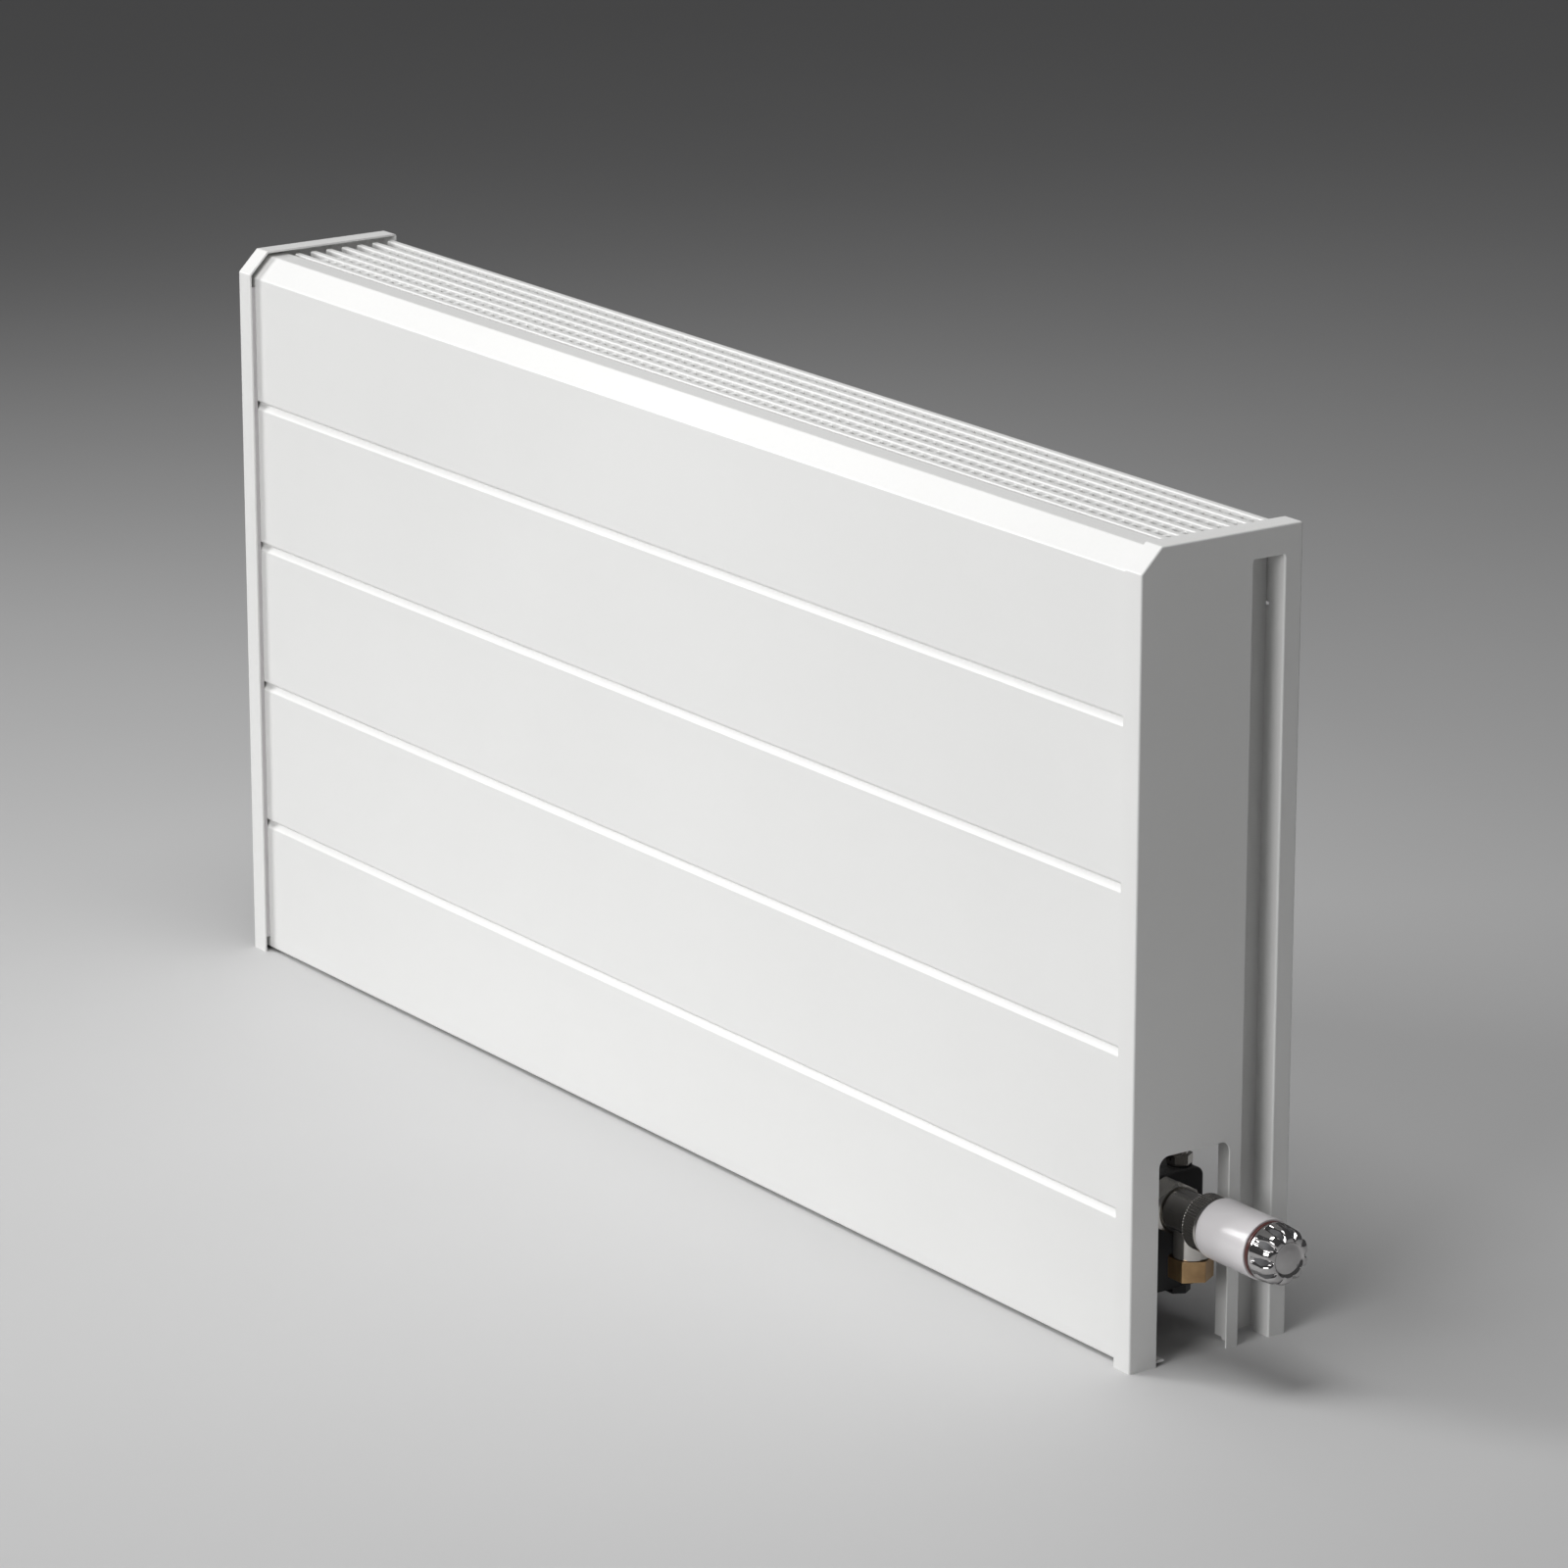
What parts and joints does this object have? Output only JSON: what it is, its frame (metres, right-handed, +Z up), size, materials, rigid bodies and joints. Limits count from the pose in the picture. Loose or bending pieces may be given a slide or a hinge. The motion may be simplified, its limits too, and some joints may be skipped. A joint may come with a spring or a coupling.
{
  "type": "radiator with valve",
  "caption": "White sheet-steel convector radiator with horizontal grooves, a lift-out top grille, a finned copper heat exchanger and a thermostatic valve at one end.",
  "frame": {"origin": "on the floor, in the middle of the whole footprint, valve head included", "axes": "+X along the length to the valve end, +Y to the wall, +Z up"},
  "size_m": [1.082, 0.118, 0.5],
  "materials": {
    "white_enamel": "satin",
    "zinc_steel": "satin",
    "steel_screw": "satin",
    "graphite_lacquer": "satin",
    "copper": "satin",
    "brass": "satin",
    "nickel": "gloss",
    "chrome": "gloss",
    "white_plastic": "gloss",
    "grey_plastic": "matte",
    "ring_plastic": "gloss",
    "rubber": "matte"
  },
  "bodies": {
    "radiator": {"front_panel": "white_enamel", "left_end_cap": "white_enamel", "right_end_cap": "white_enamel", "cap_spacers": "white_plastic", "slot_liners": "white_enamel", "spacer_rivets": "steel_screw", "rear_rail": "white_enamel", "grille_supports": "zinc_steel", "left_wall_bracket": "zinc_steel", "right_wall_bracket": "zinc_steel", "bracket_pads": "rubber", "fin_pack": "graphite_lacquer", "copper_tubes": "copper", "flow_header": "graphite_lacquer", "return_header": "graphite_lacquer", "header_plugs": "graphite_lacquer", "port_washers": "rubber", "vent_plug": "nickel", "flow_tailpiece": "nickel", "flow_union_nut": "nickel", "valve_body": "nickel", "inlet_nut": "brass", "inlet_olive": "brass", "valve_insert": "brass", "spindle_o_ring": "rubber", "spring_seat": "steel_screw", "return_spring": "steel_screw", "head_collar_nut": "nickel", "head_base": "grey_plastic", "return_tailpiece": "nickel", "return_union_nut": "nickel", "lockshield_body": "nickel", "outlet_nut": "brass", "outlet_olive": "brass"},
    "grille": {"grille_bars": "white_enamel", "grille_cross_rods": "white_enamel"},
    "bleed_screw": {"vent_screw": "brass"},
    "thermostat_head": {"head_sleeve": "white_plastic", "trim_ring": "ring_plastic", "head_grip": "chrome"},
    "valve_spindle": {"valve_spindle": "steel_screw", "valve_disc": "rubber", "sensor_element": "brass"},
    "lockshield_spindle": {"lockshield_spindle": "brass"},
    "lockshield_cap": {"lockshield_cap": "white_plastic"}
  },
  "joints": [
    {"name": "grille_lift", "type": "slide", "parent": "radiator", "child": "grille", "axis": [0, 0, 1], "range_m": [0, 0.08]},
    {"name": "head_turn", "type": "hinge", "parent": "radiator", "child": "thermostat_head", "pos_m": [0.519, -0.007, 0.086], "axis": [1, 0, 0], "range_deg": [-150, 150]},
    {"name": "spindle_travel", "type": "slide", "parent": "radiator", "child": "valve_spindle", "axis": [1, 0, 0], "range_m": [-0.0011, 0.0011], "deforming": ["return_spring"]},
    {"name": "bleed_screw_turn", "type": "hinge", "parent": "radiator", "child": "bleed_screw", "pos_m": [0.408, 0.017, 0.111], "axis": [0, 0, 1], "range_deg": [0, 360]},
    {"name": "lockshield_turn", "type": "hinge", "parent": "radiator", "child": "lockshield_spindle", "pos_m": [-0.525, -0.007, 0.042], "axis": [-1, 0, 0], "range_deg": [0, 720]},
    {"name": "lockshield_cap_turn", "type": "hinge", "parent": "radiator", "child": "lockshield_cap", "pos_m": [-0.533, -0.007, 0.042], "axis": [-1, 0, 0], "range_deg": [0, 1080]}
  ],
  "couplings": [
    {"joint": "spindle_travel", "follows": "head_turn", "m_per_rad": 0.0004}
  ]
}
